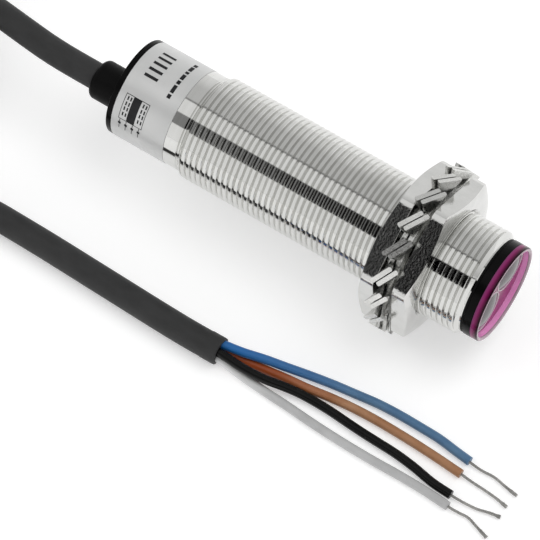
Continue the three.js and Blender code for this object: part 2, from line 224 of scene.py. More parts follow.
CORES = {
    "blue": {
        "insulated": [
            (1.7, -26.6, 3.1),
            (3, -26.3, 3.1),
            (6, -25.6, 2.7),
            (9.2, -24.5, 2.1),
            (12.8, -23.5, 1.5),
            (16.5, -22.5, 1),
            (20.5, -21.7, 0.8),
            (24.2, -21.2, 0.8),
            (28, -20.7, 0.8),
            (31.6, -20.5, 0.8),
            (35.7, -20.5, 0.8),
            (39.5, -20.6, 0.8),
            (42.7, -21, 0.8),
            (45.4, -21.3, 0.8),
        ],
        "bare": [
            (44.8, -21.3, 0.8),
            (45.7, -21.4, 0.7),
            (47.7, -21.5, 0.5),
            (49.9, -21.4, 0.5),
            (52.1, -21.8, 0.5),
            (54.5, -22.2, 0.5),
        ],
    },
    "brown": {
        "insulated": [
            (1.7, -26.6, 1.5),
            (3, -26.5, 1.5),
            (5.5, -26.2, 1.2),
            (9.7, -25.5, 0.9),
            (13.7, -24.9, 0.8),
            (17.5, -24.5, 0.8),
            (21.3, -23.9, 0.8),
            (25, -23.5, 0.8),
            (29, -23.3, 0.8),
            (32.9, -23.3, 0.8),
            (37, -23.4, 0.8),
            (41.1, -23.6, 0.8),
            (45.4, -23.9, 0.8),
        ],
        "bare": [
            (44.8, -23.9, 0.8),
            (45.7, -23.9, 0.7),
            (47.5, -24, 0.5),
            (49.5, -24.1, 0.5),
            (51.9, -24.3, 0.5),
            (54.2, -24.7, 0.5),
        ],
    },
    "black": {
        "insulated": [
            (1.7, -27.9, 3.1),
            (3, -27.9, 3.1),
            (7.4, -28, 2.8),
            (11.3, -27.5, 2.2),
            (14.1, -26.7, 1.6),
            (16.7, -26.1, 1.1),
            (19.5, -25.9, 0.9),
            (22.5, -25.9, 0.8),
            (25.5, -26.1, 0.8),
            (28.8, -26.3, 0.8),
            (31.7, -26.4, 0.8),
            (34.8, -26.5, 0.8),
            (38.5, -26.9, 0.8),
            (42.5, -27.6, 0.8),
            (46, -27.8, 0.8),
        ],
        "bare": [
            (45.4, -27.8, 0.8),
            (46.3, -27.8, 0.7),
            (48.5, -27.7, 0.5),
            (50.6, -27.5, 0.5),
            (52.5, -27, 0.5),
            (54.3, -26.7, 0.5),
        ],
    },
    "white": {
        "insulated": [
            (1.7, -28, 1.5),
            (3, -28.1, 1.5),
            (5.5, -28.3, 1.2),
            (8, -28.5, 1),
            (12.2, -28.7, 0.8),
            (16.4, -28.9, 0.8),
            (20.6, -29.2, 0.8),
            (24.8, -29.4, 0.8),
            (28.9, -29.5, 0.8),
            (32.9, -29.5, 0.8),
            (36.8, -29.4, 0.8),
            (40.7, -29.4, 0.8),
            (43.7, -29.5, 0.8),
            (46.6, -29.7, 0.8),
        ],
        "bare": [
            (46, -29.6, 0.8),
            (46.9, -29.7, 0.7),
            (48.5, -29.6, 0.5),
            (50.1, -29.5, 0.5),
            (52.1, -30.1, 0.5),
            (54.3, -30.8, 0.5),
        ],
    },
}


# ---------------------------------------------------------------- node helpers


class Nodes:
    """A small wrapper that adds linked nodes to one node tree."""

    def __init__(self, tree):
        self.tree = tree

    def add(self, kind, **values):
        node = self.tree.nodes.new(kind)
        for key, value in values.items():
            setattr(node, key, value)
        return node

    def link(self, source, target):
        self.tree.links.new(source, target)

    def math(self, operation, a, b):
        node = self.add("ShaderNodeMath", operation=operation)
        for socket, value in zip(node.inputs, (a, b)):
            if isinstance(value, (int, float)):
                socket.default_value = value
            else:
                self.link(value, socket)
        return node.outputs[0]

    def noise(self, vector, scale, detail, roughness=0.5):
        node = self.add("ShaderNodeTexNoise")
        node.inputs["Scale"].default_value = scale
        node.inputs["Detail"].default_value = detail
        node.inputs["Roughness"].default_value = roughness
        self.link(vector, node.inputs["Vector"])
        return node.outputs["Fac"]

    def ramp(self, factor, stops):
        node = self.add("ShaderNodeValToRGB")
        elements = node.color_ramp.elements
        while len(elements) < len(stops):
            elements.new(0.5)
        for element, (position, colour) in zip(elements, stops):
            element.position = position
            element.color = (*colour, 1.0)
        self.link(factor, node.inputs["Fac"])
        return node.outputs["Color"]

    def bump(self, height, strength, distance):
        node = self.add("ShaderNodeBump")
        node.inputs["Strength"].default_value = strength
        node.inputs["Distance"].default_value = distance
        self.link(height, node.inputs["Height"])
        return node.outputs["Normal"]

    def stretched(self, scale):
        coordinates = self.add("ShaderNodeTexCoord")
        mapping = self.add("ShaderNodeMapping")
        mapping.inputs["Scale"].default_value = scale
        self.link(coordinates.outputs["Object"], mapping.inputs["Vector"])
        return mapping.outputs["Vector"]


def grey(value):
    return (value, value, value)


def surface(
    name,
    dark,
    light,
    roughness,
    metallic=0.0,
    scale=(900, 900, 900),
    bump=(0.1, 0.00002),
    **sockets,
):
    """A material whose colour, roughness and bump vary with noise.

    scale is in cycles per metre on X, Y and Z; bump is its strength and its height in metres. Other sockets
    of the shader are set by name.
    """
    material = bpy.data.materials.new(name)
    material.use_nodes = True
    nodes = Nodes(material.node_tree)
    shader = material.node_tree.nodes["Principled BSDF"]
    shader.inputs["Metallic"].default_value = metallic
    for socket, value in sockets.items():
        shader.inputs[socket.replace("_", " ")].default_value = value
    vector = nodes.stretched(scale)
    broad = nodes.noise(vector, 0.35, 2.0)
    fine = nodes.noise(vector, 2.0, 5.0, 0.6)
    nodes.link(nodes.ramp(broad, [(0.25, dark), (0.75, light)]), shader.inputs["Base Color"])
    low, high = (grey(r) for r in roughness)
    nodes.link(nodes.ramp(fine, [(0.3, low), (0.7, high)]), shader.inputs["Roughness"])
    nodes.link(nodes.bump(fine, *bump), shader.inputs["Normal"])
    return material


# ---------------------------------------------------------------- mesh helpers


def finish_mesh(name, mesh, material, smooth_deg=32.0):
    """Outward normals, smooth faces with edges sharper than smooth_deg kept crisp, one object."""
    work = bmesh.new()
    work.from_mesh(mesh)
    bmesh.ops.remove_doubles(work, verts=work.verts, dist=1e-7)
    bmesh.ops.recalc_face_normals(work, faces=work.faces)
    for face in work.faces:
        face.smooth = True
    limit = math.radians(smooth_deg)
    for edge in work.edges:
        edge.smooth = len(edge.link_faces) != 2 or edge.calc_face_angle(0.0) < limit
    work.to_mesh(mesh)
    work.free()
    mesh.materials.append(material)
    piece = bpy.data.objects.new(name, mesh)
    bpy.context.scene.collection.objects.link(piece)
    return piece


def mesh_piece(name, vertices, faces, material, smooth_deg=32.0):
    mesh = bpy.data.meshes.new(name)
    mesh.from_pydata([tuple(v) for v in vertices], [], faces)
    return finish_mesh(name, mesh, material, smooth_deg)


def grid_faces(rows, columns, wrap_rows=False, offset=0):
    """Quads of a grid whose columns close on themselves."""
    faces = []
    for i in range(rows if wrap_rows else rows - 1):
        for j in range(columns):
            here = offset + i * columns
            after = offset + ((i + 1) % rows) * columns
            faces.append((here + j, here + (j + 1) % columns, after + (j + 1) % columns, after + j))
    return faces


def round_points(profile, centre, segments=ROUND):
    """Rings of points round the X axis through centre; profile holds (station, radius) in millimetres."""
    y, z = centre
    points = []
    for station, radius in profile:
        for j in range(segments):
            angle = 2 * math.pi * j / segments
            x = REAR + station * MM
            points.append((x, y + radius * MM * math.cos(angle), z + radius * MM * math.sin(angle)))
    return points


def turned(name, profile, material, centre=None, segments=ROUND, closed=False):
    """A body turned about X. An open profile gets flat ends; a closed one is a ring."""
    rows = len(profile)
    vertices = round_points(profile, centre or (AXIS_Y, AXIS_Z), segments)
    faces = grid_faces(rows, segments, wrap_rows=closed)
    if not closed:
        faces.append(tuple(range(segments)))
        faces.append(tuple(range((rows - 1) * segments, rows * segments)))
    return mesh_piece(name, vertices, faces, material)


def arc(centre, radius, start_deg, end_deg, steps):
    """Points (station, radius) on an arc, used for rounded edges."""
    points = []
    for i in range(steps + 1):
        angle = math.radians(start_deg + (end_deg - start_deg) * i / steps)
        points.append((centre[0] + radius * math.cos(angle), centre[1] + radius * math.sin(angle)))
    return points


def smoothed(points, spacing):
    """A centripetal Catmull-Rom line through points (millimetres), resampled about every spacing."""
    line = [Vector(p) for p in points]
    line = [2 * line[0] - line[1], *line, 2 * line[-1] - line[-2]]
    out = []
    for a, b, c, d in zip(line, line[1:], line[2:], line[3:]):
        t1 = (b - a).length ** 0.5
        t2 = t1 + (c - b).length ** 0.5
        t3 = t2 + (d - c).length ** 0.5
        steps = max(1, round((c - b).length / spacing))
        for i in range(steps):
            t = t1 + (t2 - t1) * i / steps
            ab = a.lerp(b, t / t1)
            bc = b.lerp(c, (t - t1) / (t2 - t1))
            cd = c.lerp(d, (t - t2) / (t3 - t2))
            abc = ab.lerp(bc, t / t2)
            bcd = bc.lerp(cd, (t - t1) / (t3 - t1))
            out.append(abc.lerp(bcd, (t - t1) / (t2 - t1)))
    out.append(line[-2])
    return out


def curve_piece(name, lines, diameter, material, sides):
    """Round wires along lines, lists of points in millimetres, on the sensor's body."""
    curve = bpy.data.curves.new(name, "CURVE")
    curve.dimensions = "3D"
    curve.bevel_depth = diameter / 2
    curve.bevel_resolution = sides
    curve.use_fill_caps = True
    for line in lines:
        spline = curve.splines.new("POLY")
        spline.points.add(len(line) - 1)
        for point, place in zip(spline.points, line):
            point.co = (*(c * MM for c in place), 1.0)
    curve.materials.append(material)
    piece = bpy.data.objects.new(name, curve)
    bpy.context.scene.collection.objects.link(piece)
    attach(piece, "sensor")
    return piece


def length_of(line):
    """Length in metres of a line of points in millimetres."""
    return sum((Vector(b) - Vector(a)).length for a, b in zip(line, line[1:])) * MM


# ---------------------------------------------------------------- materials

NICKEL = surface(
    "nickel",
    (0.63, 0.63, 0.61),
    (0.7, 0.7, 0.685),
    (0.05, 0.09),
    metallic=1.0,
    scale=(2600, 400, 400),
    bump=(0.04, 0.00001),
)
NUT_METAL = surface(
    "nut_nickel",
    (0.62, 0.62, 0.605),
    (0.68, 0.68, 0.665),
    (0.04, 0.08),
    metallic=1.0,
    scale=(1250, 1250, 1250),
    bump=(0.6, 0.00003),
)
ZINC = surface(
    "washer_zinc",
    (0.62, 0.62, 0.6),
    (0.74, 0.74, 0.72),
    (0.22, 0.36),
    metallic=1.0,
    scale=(1250, 1250, 1250),
    bump=(0.9, 0.00005),
)
LABEL = surface(
    "label_film",
    (0.56, 0.565, 0.56),
    (0.62, 0.62, 0.615),
    (0.3, 0.38),
    metallic=0.3,
    scale=(500, 500, 500),
    bump=(0.05, 0.00001),
)
INK = surface("label_ink", (0.006, 0.006, 0.007), (0.02, 0.02, 0.022), (0.4, 0.55), Specular_IOR_Level=0.2)
BLACK_PLASTIC = surface(
    "black_plastic", grey(0.002), grey(0.004), (0.16, 0.26), bump=(0.12, 0.00002), Specular_IOR_Level=0.06
)
RUBBER = surface(
    "black_rubber", grey(0.002), grey(0.004), (0.4, 0.55), bump=(0.2, 0.00003), Specular_IOR_Level=0.08
)
JACKET = surface(
    "cable_jacket",
    (0.026, 0.0262, 0.0265),
    (0.036, 0.0363, 0.0365),
    (0.5, 0.64),
    scale=(700, 1500, 1500),
    bump=(0.3, 0.00005),
    Specular_IOR_Level=0.25,
)
INSULATION_BUMP = (0.15, 0.00003)
GLOSSY_BUMP = (0.01, 0.000005)
CORE_MATERIALS = {
    "blue": surface("core_blue", (0.05, 0.13, 0.25), (0.09, 0.19, 0.31), (0.3, 0.42), bump=INSULATION_BUMP),
    "brown": surface("core_brown", (0.3, 0.13, 0.05), (0.4, 0.21, 0.11), (0.3, 0.42), bump=INSULATION_BUMP),
    "black": surface(
        "core_black", grey(0.001), grey(0.004), (0.2, 0.3), bump=INSULATION_BUMP, Specular_IOR_Level=0.2
    ),
    "white": surface("core_white", grey(0.42), grey(0.5), (0.36, 0.5), bump=INSULATION_BUMP),
}
TINNED = surface("tinned_strands", (0.36, 0.355, 0.34), (0.56, 0.55, 0.53), (0.2, 0.36), metallic=1.0)
MAGENTA = surface("magenta_window", (0.94, 0.36, 0.72), (0.99, 0.42, 0.79), (0.05, 0.09), bump=GLOSSY_BUMP)
RIM_NOSE = surface(
    "magenta_rim",
    (0.42, 0.3, 0.36),
    (0.52, 0.36, 0.44),
    (0.12, 0.2),
    bump=(0.02, 0.00001),
    Transmission_Weight=0.2,
)
BEZEL = surface("lens_edge", (0.5, 0.4, 0.45), (0.6, 0.46, 0.52), (0.1, 0.16), bump=GLOSSY_BUMP)
# The window's face: a darker copy of the window's magenta, painted shade for the recessed face and the dark
# inside behind it
MAGENTA_FACE_PAINTED_SHADE = surface(
    "magenta_face_painted_shade",
    (0.2, 0.02, 0.1),
    (0.28, 0.035, 0.14),
    (0.16, 0.24),
    bump=(0.02, 0.00001),
    Specular_IOR_Level=0.2,
)
LENS = surface(
    "lens_plastic", (0.05, 0.04, 0.046), (0.07, 0.056, 0.062), (0.02, 0.05), bump=GLOSSY_BUMP, IOR=1.7
)
LIGHT_PIPE = surface(
    "clear_plastic",
    (0.75, 0.78, 0.78),
    (0.82, 0.84, 0.84),
    (0.06, 0.1),
    bump=GLOSSY_BUMP,
    Transmission_Weight=0.7,
)
BOARD = surface("board_green", (0.012, 0.09, 0.035), (0.02, 0.13, 0.05), (0.35, 0.45))
CHIP = surface("chip_black", (0.012, 0.012, 0.013), (0.022, 0.022, 0.024), (0.4, 0.55))
BRASS = surface("trimmer_brass", (0.62, 0.42, 0.14), (0.72, 0.5, 0.2), (0.22, 0.34), metallic=1.0)
AMBER = surface(
    "indicator_amber", (0.8, 0.3, 0.02), (0.9, 0.38, 0.04), (0.15, 0.25), Transmission_Weight=0.5
)
FLOOR = surface(
    "floor_paper",
    grey(0.79),
    grey(0.8),
    (0.55, 0.65),
    scale=(3, 3, 3),
    bump=(0.0, 0.0001),
    Emission_Color=(1.0, 1.0, 1.0, 1.0),
    Emission_Strength=0.36,
)


def along_x(material, span):
    """The material's node helper and how far along X, 0 to 1 over span in metres, a point lies."""
    nodes = Nodes(material.node_tree)
    parts = nodes.add("ShaderNodeSeparateXYZ")
    nodes.link(nodes.add("ShaderNodeTexCoord").outputs["Object"], parts.inputs[0])
    along = nodes.math("SUBTRACT", parts.outputs["X"], span[0])
    return nodes, nodes.math("DIVIDE", along, span[1] - span[0])


def painted_light_fade(material, near, span):
    """Painted light: blends from the colour near, at the start of span along X, to the material's own colour
    at its end, in place of the change in light and reflection along a core.
    """
    nodes, share = along_x(material, span)
    base = material.node_tree.nodes["Principled BSDF"].inputs["Base Color"]
    own = base.links[0].from_socket
    mix = nodes.add("ShaderNodeMix", data_type="RGBA")
    factor, first, second = mix.inputs[0], mix.inputs[6], mix.inputs[7]  # the sockets of a colour mix
    first.default_value = (*near, 1.0)
    nodes.link(share, factor)
    nodes.link(own, second)
    nodes.link(mix.outputs[2], base)


def band_painted_glow_material():
    """The window's outer band: a painted magenta glow by the holder, in place of light through the plastic,
    that fades to black at the rim.
    """
    material = surface(
        "window_band", (0.1, 0.01, 0.05), (0.12, 0.012, 0.06), (0.08, 0.14), Specular_IOR_Level=0.1
    )
    nodes, share = along_x(material, (REAR + FLANGE[1] * MM, REAR + FRONT_FACE * MM))
    # Painted glow: the base colour runs along X from a magenta glow by the holder to black at the rim
    painted_glow_stops = [
        (0.0, (0.1, 0.03, 0.07)),
        (0.1, (0.2, 0.04, 0.13)),
        (0.35, (0.22, 0.02, 0.11)),
        (0.6, (0.1, 0.006, 0.045)),
        (0.85, (0.01, 0.001, 0.004)),
    ]
    nodes.link(nodes.ramp(share, painted_glow_stops), material.node_tree.nodes["Principled BSDF"].inputs["Base Color"])
    return material


# The outer band's material, with its painted glow
BAND = band_painted_glow_material()
# Painted light on the cores: a core's colour by the jacket, standing in for the light and reflection there,
# and the stretch of X in metres over which it turns into the core's own
CORE_PAINTED_LIGHT = {
    "blue": ((0.008, 0.12, 0.36), (0.006, 0.026)),
    "brown": ((0.3, 0.055, 0.008), (0.01, 0.024)),
    "white": (grey(0.75), (0.002, 0.014)),
}
for core_name, (painted_near_colour, painted_fade_span) in CORE_PAINTED_LIGHT.items():
    painted_light_fade(CORE_MATERIALS[core_name], painted_near_colour, painted_fade_span)


# ---------------------------------------------------------------- camera, floor, light


def add_camera():
    azimuth = math.radians(CAMERA_AZIMUTH)
    elevation = math.radians(CAMERA_ELEVATION)
    level = math.cos(elevation)
    towards = Vector((math.sin(azimuth) * level, -math.cos(azimuth) * level, math.sin(elevation)))
    data = bpy.data.cameras.new("camera")
    data.lens = CAMERA_LENS
    data.sensor_width = 36.0
    data.clip_start = 0.01
    camera = bpy.data.objects.new("camera", data)
    camera.location = Vector(CAMERA_TARGET) + CAMERA_DISTANCE * towards
    camera.rotation_euler = (-towards).to_track_quat("-Z", "Y").to_euler()
    bpy.context.scene.collection.objects.link(camera)
    bpy.context.scene.camera = camera


def add_floor():
    half = 3.0
    corners = [(-half, -half, 0), (half, -half, 0), (half, half, 0), (-half, half, 0)]
    floor = mesh_piece("floor", corners, [(0, 1, 2, 3)], FLOOR)


def add_world():
    """A white tent as bands of direction round the barrel's axis, with a dark card lit at its cable end."""
    world = bpy.data.worlds.new("tent")
    bpy.context.scene.world = world
    world.use_nodes = True
    nodes = Nodes(world.node_tree)
    background = world.node_tree.nodes["Background"]
    direction = nodes.add("ShaderNodeTexCoord").outputs["Generated"]
    parts = nodes.add("ShaderNodeSeparateXYZ")
    nodes.link(direction, parts.inputs[0])
    turn = nodes.math("ARCTAN2", parts.outputs["Z"], parts.outputs["Y"])
    share = nodes.math("ADD", nodes.math("DIVIDE", turn, 2 * math.pi), 0.5)
    stops = [((angle + 180) / 360, grey(value)) for angle, value in TENT_BANDS]
    lean = nodes.math("SUBTRACT", nodes.math("MULTIPLY", parts.outputs["X"], -1.0), SPILL_FROM)
    spill = nodes.math("MAXIMUM", nodes.math("MULTIPLY", lean, SPILL_GAIN), 0.0)
    spill = nodes.math("MINIMUM", spill, SPILL_MOST)
    nodes.link(nodes.math("MAXIMUM", nodes.ramp(share, stops), spill), background.inputs["Color"])
    background.inputs["Strength"].default_value = 1.0


def add_light(name, place, size, power):
    data = bpy.data.lights.new(name, "AREA")
    data.shape = "DISK"
    data.size = size
    data.energy = power
    light = bpy.data.objects.new(name, data)
    light.location = place
    light.rotation_euler = (Vector(LAMP_TARGET) - Vector(place)).to_track_quat("-Z", "Y").to_euler()
    light.visible_glossy = False
    bpy.context.scene.collection.objects.link(light)


def add_lights():
    add_light("key", (0.3, 0.25, 0.9), 0.7, 2.5)
    add_light("fill", (-0.5, -0.5, 0.7), 0.9, 1.5)


# ---------------------------------------------------------------- barrel and label


def envelope(station):
    """The most that the radius can be near the ends of the thread, where it runs out in a chamfer."""
    start, end = THREAD_SPAN
    return THREAD_ENDS_R + min(station - start, end - station) * THREAD_RUNOUT


def thread_point(row, column):
    """A point of the helix: rows go along the thread form, columns go round."""
    start, end = THREAD_SPAN
    turn = column / THREAD_SEGMENTS
    pitches, place = divmod(row, len(THREAD_FORM))
    share, crest = THREAD_FORM[place]
    station = start + (pitches - THREAD_LEAD + share + turn - THREAD_PHASE) * THREAD_PITCH
    station = min(max(station, start), end)
    radius = min(crest, envelope(station)) * MM
    angle = 2 * math.pi * turn
    return REAR + station * MM, AXIS_Y + radius * math.cos(angle), AXIS_Z + radius * math.sin(angle)


def add_barrel():
    """The tube, with its thread cut as one helix."""
    form = len(THREAD_FORM)
    columns = THREAD_SEGMENTS
    start, end = THREAD_SPAN
    rows = form * math.ceil((end - start) / THREAD_PITCH + 2 * THREAD_LEAD)
    vertices = [thread_point(i, j) for i in range(rows) for j in range(columns)]
    faces = []
    for i in range(rows - 1):
        for j in range(columns - 1):
            a = i * columns + j
            faces.append((a, a + 1, a + columns + 1, a + columns))
    for i in range(rows - 1 - form):
        a = i * columns + columns - 1
        b = (i + form) * columns
        faces.append((a, b, b + columns, a + columns))
    rear = [
        (start, THREAD_ENDS_R),
        (start - 0.1, RELIEF_R),
        (BAND_END + 0.2, RELIEF_R),
        (BAND_END, REAR_R),
        (LABEL_END + 0.05, REAR_R),
        (LABEL_END, REAR_R - 0.04),
        (LABEL_END, REAR_R - 0.1),
        (0.0, REAR_R - 0.1),
        (0.0, BORE_R),
    ]
    front = [
        (end, THREAD_ENDS_R),
        (end, THREAD_ENDS_R - 0.05),
        (end + 0.2, THREAD_ENDS_R - 0.05),
        (end + 0.2, BORE_R),
    ]
    last_rings = []
    for profile in (rear, front):
        offset = len(vertices)
        vertices += round_points(profile, (AXIS_Y, AXIS_Z), columns)
        faces += grid_faces(len(profile), columns, offset=offset)
        last_rings.append(offset + (len(profile) - 1) * columns)
    for j in range(columns):
        k = (j + 1) % columns
        faces.append((last_rings[0] + j, last_rings[0] + k, last_rings[1] + k, last_rings[1] + j))
    barrel = mesh_piece("threaded_barrel", vertices, faces, NICKEL, 28.0)
    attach(barrel, "sensor")
    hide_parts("barrel")


def add_label():
    """A sleeve of film with softened edges."""
    start = 0.06
    end = LABEL_END - 0.01
    edge = 0.03
    inner = LABEL_R - 0.11
    profile = [
        (start, inner),
        (start, LABEL_R - edge),
        (start + edge, LABEL_R),
        (end - edge, LABEL_R),
        (end, LABEL_R - edge),
        (end, inner),
    ]
    film = turned("label_film", profile, LABEL, closed=True)
    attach(film, "sensor")
    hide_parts("label")


def label_patch(vertices, faces, span, arc_deg, steps=6):
    """A printed patch: span along the barrel in millimetres and arc_deg round it."""
    radius = PRINT_R * MM
    offset = len(vertices)
    for k in range(steps + 1):
        angle = math.radians(arc_deg[0] + (arc_deg[1] - arc_deg[0]) * k / steps)
        y = AXIS_Y + radius * math.cos(angle)
        z = AXIS_Z + radius * math.sin(angle)
        for station in span:
            vertices.append((REAR + station * MM, y, z))
    for k in range(steps):
        a = offset + 2 * k
        faces.append((a, a + 1, a + 3, a + 2))


def print_box(vertices, faces):
    """A ruled box with a dark block across its middle and rows of dashes."""
    box_span = (1.3, 5.75)
    box_arc = (127, 158)
    line = 0.1
    side_line_deg = 0.7
    label_patch(vertices, faces, (2.75, 4.25), box_arc)
    for station in (box_span[0], box_span[1] - line):
        label_patch(vertices, faces, (station, station + line), box_arc)
    for angle in box_arc:
        label_patch(vertices, faces, box_span, (angle, angle + side_line_deg), 1)
    for row in (1.75, 2.3, 4.65, 5.2):
        for start in (129.5, 136, 142, 149):
            label_patch(vertices, faces, (row, row + 0.25), (start, start + 4.5), 2)


def add_label_print():
    """Generic printed marks with no lettering: bars, dashes, a ruled box and four lines below it."""
    vertices, faces = [], []
    for start in (62, 71, 80, 89, 98):
        label_patch(vertices, faces, (2.2, 4.7), (start, start + 3.6))
    for start, width in ((52, 6), (60, 9), (71, 4), (77, 8), (87, 5), (94, 10), (106, 5)):
        label_patch(vertices, faces, (7.35, 8.0), (start, start + width))
    print_box(vertices, faces)
    for row in (1.6, 2.8, 4.0, 5.2):
        label_patch(vertices, faces, (row, row + 0.12), (159, 172), 4)
        label_patch(vertices, faces, (row - 0.2, row + 0.32), (163, 166), 2)
    marks = mesh_piece("label_print", vertices, faces, INK)
    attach(marks, "sensor")


# ---------------------------------------------------------------- rear end


def middle_of(node):
    """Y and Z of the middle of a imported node."""
    low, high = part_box(node)
    return (low[1] + high[1]) / 2, (low[2] + high[2]) / 2


def give(node, material):
    """Gives a CAD node its procedural material."""
    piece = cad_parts[node]
    piece.data.materials.clear()
    piece.data.materials.append(material)


def drilled(piece, holes, span):
    """Cuts round holes, (y, z, radius) in metres, along X through a piece between two stations."""
    cutters = []
    for y, z, radius in holes:
        mesh = bpy.data.meshes.new("cutter")
        work = bmesh.new()
        bmesh.ops.create_cone(
            work,
            cap_ends=True,
            segments=HOLE_SEGMENTS,
            radius1=radius,
            radius2=radius,
            depth=(span[1] - span[0]) * MM,
        )
        middle = (REAR + (span[0] + span[1]) / 2 * MM, y, z)
        place = Matrix.Translation(middle) @ Matrix.Rotation(math.pi / 2, 4, "Y")
        bmesh.ops.transform(work, matrix=place, verts=work.verts)
        work.to_mesh(mesh)
        work.free()
        cutters.append(mesh)
    return carved(piece, cutters)


def carved(piece, cutters):
    """Subtracts closed meshes from a piece."""
    material = piece.data.materials[0]
    tools = []
    for mesh in cutters:
        tool = bpy.data.objects.new("cutter", mesh)
        bpy.context.scene.collection.objects.link(tool)
        cut = piece.modifiers.new("cut", "BOOLEAN")
        cut.operation = "DIFFERENCE"
        cut.solver = "EXACT"
        cut.object = tool
        tools.append(tool)
    bpy.context.view_layer.update()
    result = bpy.data.meshes.new_from_object(piece.evaluated_get(bpy.context.evaluated_depsgraph_get()))
    name = piece.name
    for gone in (piece, *tools):
        bpy.data.objects.remove(gone)
    result.materials.clear()
    return finish_mesh(name, result, material)


def add_rear_cap():
    """A flanged cap plugged into the barrel, holed for the cable boss, the trimmer and the light pipe."""
    edge = 0.2
    profile = [
        (CAP_REAR, 0.01),
        *arc((CAP_REAR + edge, REAR_R - edge), edge, 180, 90, 5),
        (-0.05, REAR_R),
        (-0.05, CAP_PLUG_R),
        (CAP_PLUG_END, CAP_PLUG_R - 0.05),
        (CAP_PLUG_END, 0.01),
    ]
    holes = [(*middle_of(node), radius * MM) for node, radius in CAP_HOLES.items()]
    cap = drilled(turned("cap", profile, BLACK_PLASTIC), holes, (CAP_REAR - 1, CAP_PLUG_END + 1.1))
    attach(cap, "sensor")
    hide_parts("rear_cap")


def add_gland():
    """The boss that the cable leaves through, with a rounded rim and a sleeve inside the cap."""
    rim = 0.9
    sleeve_r = 2.85
    sleeve_end = 6.0
    profile = [
        (GLAND_REAR, GLAND_BORE_R),
        *arc((GLAND_REAR + rim, GLAND_R - rim), rim, 180, 90, 8),
        (CAP_REAR - 0.6, GLAND_R),
        (CAP_REAR - 0.05, GLAND_R + 0.1),
        (CAP_REAR - 0.05, sleeve_r),
        (sleeve_end, sleeve_r),
        (sleeve_end, GLAND_BORE_R),
    ]
    boss = turned("cable_boss", profile, RUBBER, middle_of("cable_gland"), 72, closed=True)
    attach(boss, "sensor")
    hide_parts("cable_gland")


def add_trimmer():
    """The screw's head with a slot across it, and the shaft behind it."""
    y, z = middle_of("trimmer_rotor")
    face = CAP_REAR + 0.35
    head_r, head_end = 1.75, 7.3
    shaft_r, shaft_end = 0.8, 9.3
    profile = [
        (face, 0.01),
        (face, head_r - 0.15),
        (face + 0.04, head_r - 0.05),
        (face + 0.14, head_r),
        (head_end, head_r),
        (head_end, shaft_r),
        (shaft_end, shaft_r),
        (shaft_end, 0.01),
    ]
    head = turned("trimmer_screw", profile, BRASS, (y, z), 48)
    slot_depth, slot_length, slot_width = 0.7, 6, 0.5
    slot = bpy.data.meshes.new("slot")
    work = bmesh.new()
    size = Matrix.Diagonal((2 * slot_depth * MM, slot_length * MM, slot_width * MM, 1.0))
    bmesh.ops.create_cube(work, size=1.0, matrix=Matrix.Translation((REAR + face * MM, y, z)) @ size)
    work.to_mesh(slot)
    work.free()
    screw = carved(head, [slot])
    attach(screw, "trimmer_rotor")
    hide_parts("trimmer_rotor")


def add_indicator():
    """A light pipe with a domed end, from the cap's face to the indicator inside."""
    face = CAP_REAR + 0.2
    end = 7.3
    pipe_r = 1.0
    profile = [
        (face, 0.01),
        (face, 0.6 * pipe_r),
        (face + 0.04, 0.85 * pipe_r),
        (face + 0.2, pipe_r),
        (end, pipe_r),
        (end, 0.01),
    ]
    pipe = turned("indicator_pipe", profile, LIGHT_PIPE, middle_of("indicator_lens"), 40)
    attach(pipe, "sensor")
    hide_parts("indicator_lens")


# ---------------------------------------------------------------- front end


def add_holder():
    """The block behind the window, bored for the two lenses; its flange shows as the black ring."""
    start, end = FLANGE
    floor = RECESS_FLOOR - 0.05
    profile = [
        (OPTICS_REAR, 0.01),
        (OPTICS_REAR, OPTICS_R),
        (start, OPTICS_R),
        (start, FRONT_R - 0.1),
        (start + 0.1, FRONT_R),
        (end, FRONT_R),
        (end, RIM_INNER_R + 0.02),
        (floor, RIM_INNER_R + 0.02),
        (floor, 0.01),
    ]
    bores = [(*middle_of(node), OPTICS_BORE_R * MM) for node in LENSES]
    holder = drilled(turned("holder", profile, BLACK_PLASTIC), bores, BORING)
    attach(holder, "sensor")
    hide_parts("optic_holder")


def add_window():
    """A shallow cup: a dark face, its darkness painted shade, with two lens holes, a bright wall, a rounded
    rim and the outer band.
    """
    face_r = RIM_INNER_R - 0.05
    face = [(RECESS_FLOOR, 0.01), (RECESS_FLOOR, face_r), (WINDOW_FACE, face_r), (WINDOW_FACE, 0.01)]
    holes = [(*middle_of(node), WINDOW_HOLE_R * MM) for node in LENSES]
    plate = drilled(turned("window_face", face, MAGENTA_FACE_PAINTED_SHADE), holes, BORING)
    seat = FLANGE[1] + 0.05
    nose = (FRONT_R - RIM_INNER_R) / 2
    shoulder = FRONT_FACE - nose - 0.05
    wall_r = FRONT_R - 0.12
    inside = [(seat, RIM_INNER_R), (seat, wall_r), (shoulder, wall_r), (shoulder, RIM_INNER_R)]
    wall = turned("window_wall", inside, MAGENTA, closed=True)
    centre = (FRONT_FACE - nose, FRONT_R - nose)
    edge = [(shoulder + 0.01, RIM_INNER_R), (shoulder + 0.01, centre[1]), *arc(centre, nose, 35, -90, 9)]
    rim = turned("window_rim", edge, RIM_NOSE, closed=True)
    sleeve = [
        (seat, FRONT_R - 0.1),
        (seat, FRONT_R),
        *arc(centre, nose, 90, 37, 5),
        (centre[0], FRONT_R - 0.1),
    ]
    band = turned("window_band", sleeve, BAND, closed=True)
    for piece in (plate, wall, rim, band):
        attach(piece, "sensor")
    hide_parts("front_window")


